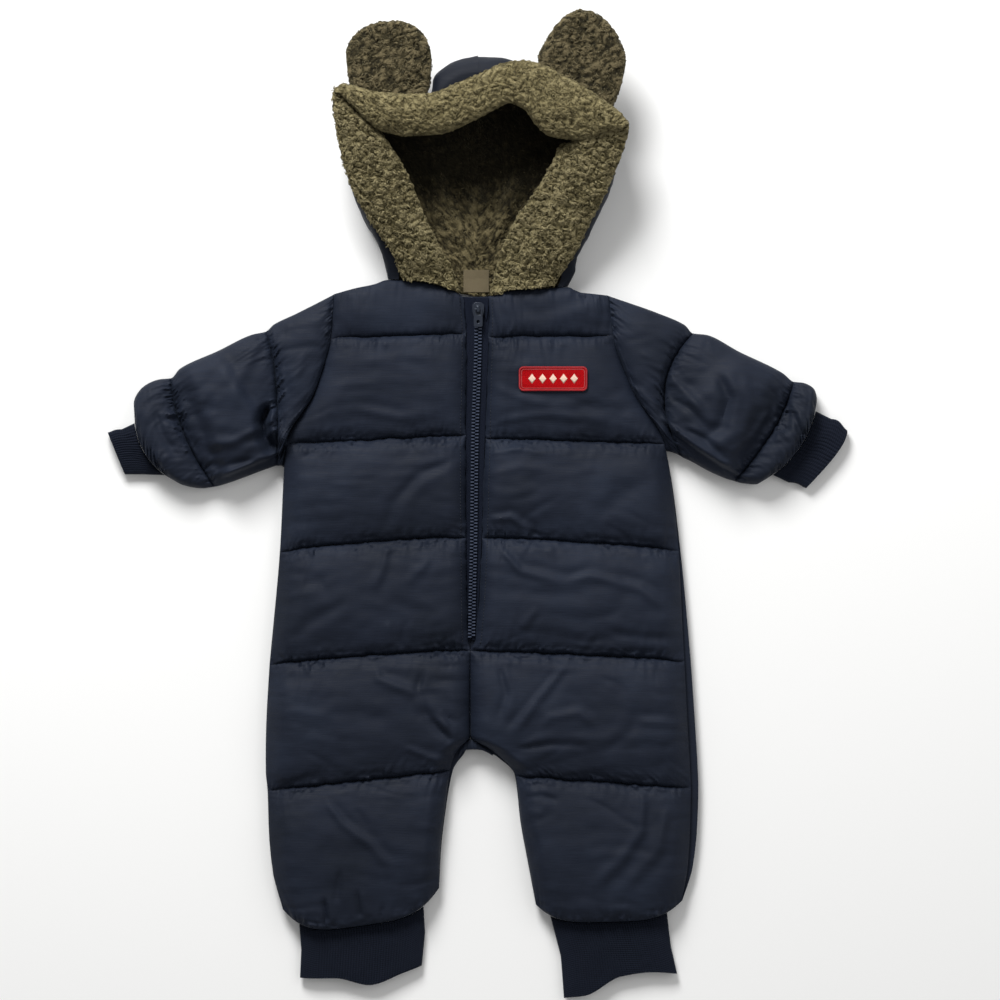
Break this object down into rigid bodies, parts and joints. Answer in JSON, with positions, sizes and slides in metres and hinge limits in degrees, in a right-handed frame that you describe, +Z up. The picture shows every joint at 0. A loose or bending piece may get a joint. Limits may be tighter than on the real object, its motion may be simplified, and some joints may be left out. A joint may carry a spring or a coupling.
{
  "type": "baby snowsuit",
  "caption": "Quilted one-piece baby snowsuit laid flat on its back, with a pile-lined hood with ears, full-length zip and rib cuffs.",
  "frame": {"origin": "middle of the bounding box in plan, on the surface that the suit lies on", "axes": "+Z up from the surface, +Y towards the hood, +X towards the wearer's left sleeve"},
  "size_m": [0.578, 0.7696, 0.0706],
  "materials": {
    "navy_quilt": "soft satin",
    "navy_rib": "matte knit",
    "navy_hood": "soft satin",
    "pile_brown": "curly pile",
    "pile_dark": "curly pile",
    "zip_tape": "matte weave",
    "zip_metal": "satin enamel",
    "patch_red": "woven",
    "label_cream": "satin tape"
  },
  "bodies": {
    "garment": {"front_right": "navy_quilt", "back_right": "navy_quilt", "sleeve_right": "navy_quilt", "wrist_cuff_right": "navy_rib", "ankle_cuff_right": "navy_rib", "hood_shell_right": "navy_hood", "hood_lining_right": "pile_dark", "hood_band_right": "pile_brown", "ear_front_right": "pile_dark", "ear_back_right": "navy_hood", "zip_tape_right": "zip_tape", "front_left": "navy_quilt", "back_left": "navy_quilt", "sleeve_left": "navy_quilt", "wrist_cuff_left": "navy_rib", "ankle_cuff_left": "navy_rib", "hood_shell_left": "navy_hood", "hood_lining_left": "pile_dark", "hood_band_left": "pile_brown", "ear_front_left": "pile_dark", "ear_back_left": "navy_hood", "zip_tape_left": "zip_tape", "crotch_gusset": "navy_quilt", "patch": "patch_red", "hood_brim": "pile_brown", "neck_label": "label_cream", "zip_chain": "zip_tape", "zip_tape_end": "zip_tape", "zip_slider": "zip_metal"},
    "pull_tab_body": {"pull_tab": "zip_metal"}
  },
  "joints": [
    {"name": "pull_tab_hinge", "type": "hinge", "parent": "garment", "child": "pull_tab_body", "pos_m": [0.0005, 0.15325, 0.01625], "axis": [-1, 0, 0], "range_deg": [0, 170]}
  ]
}
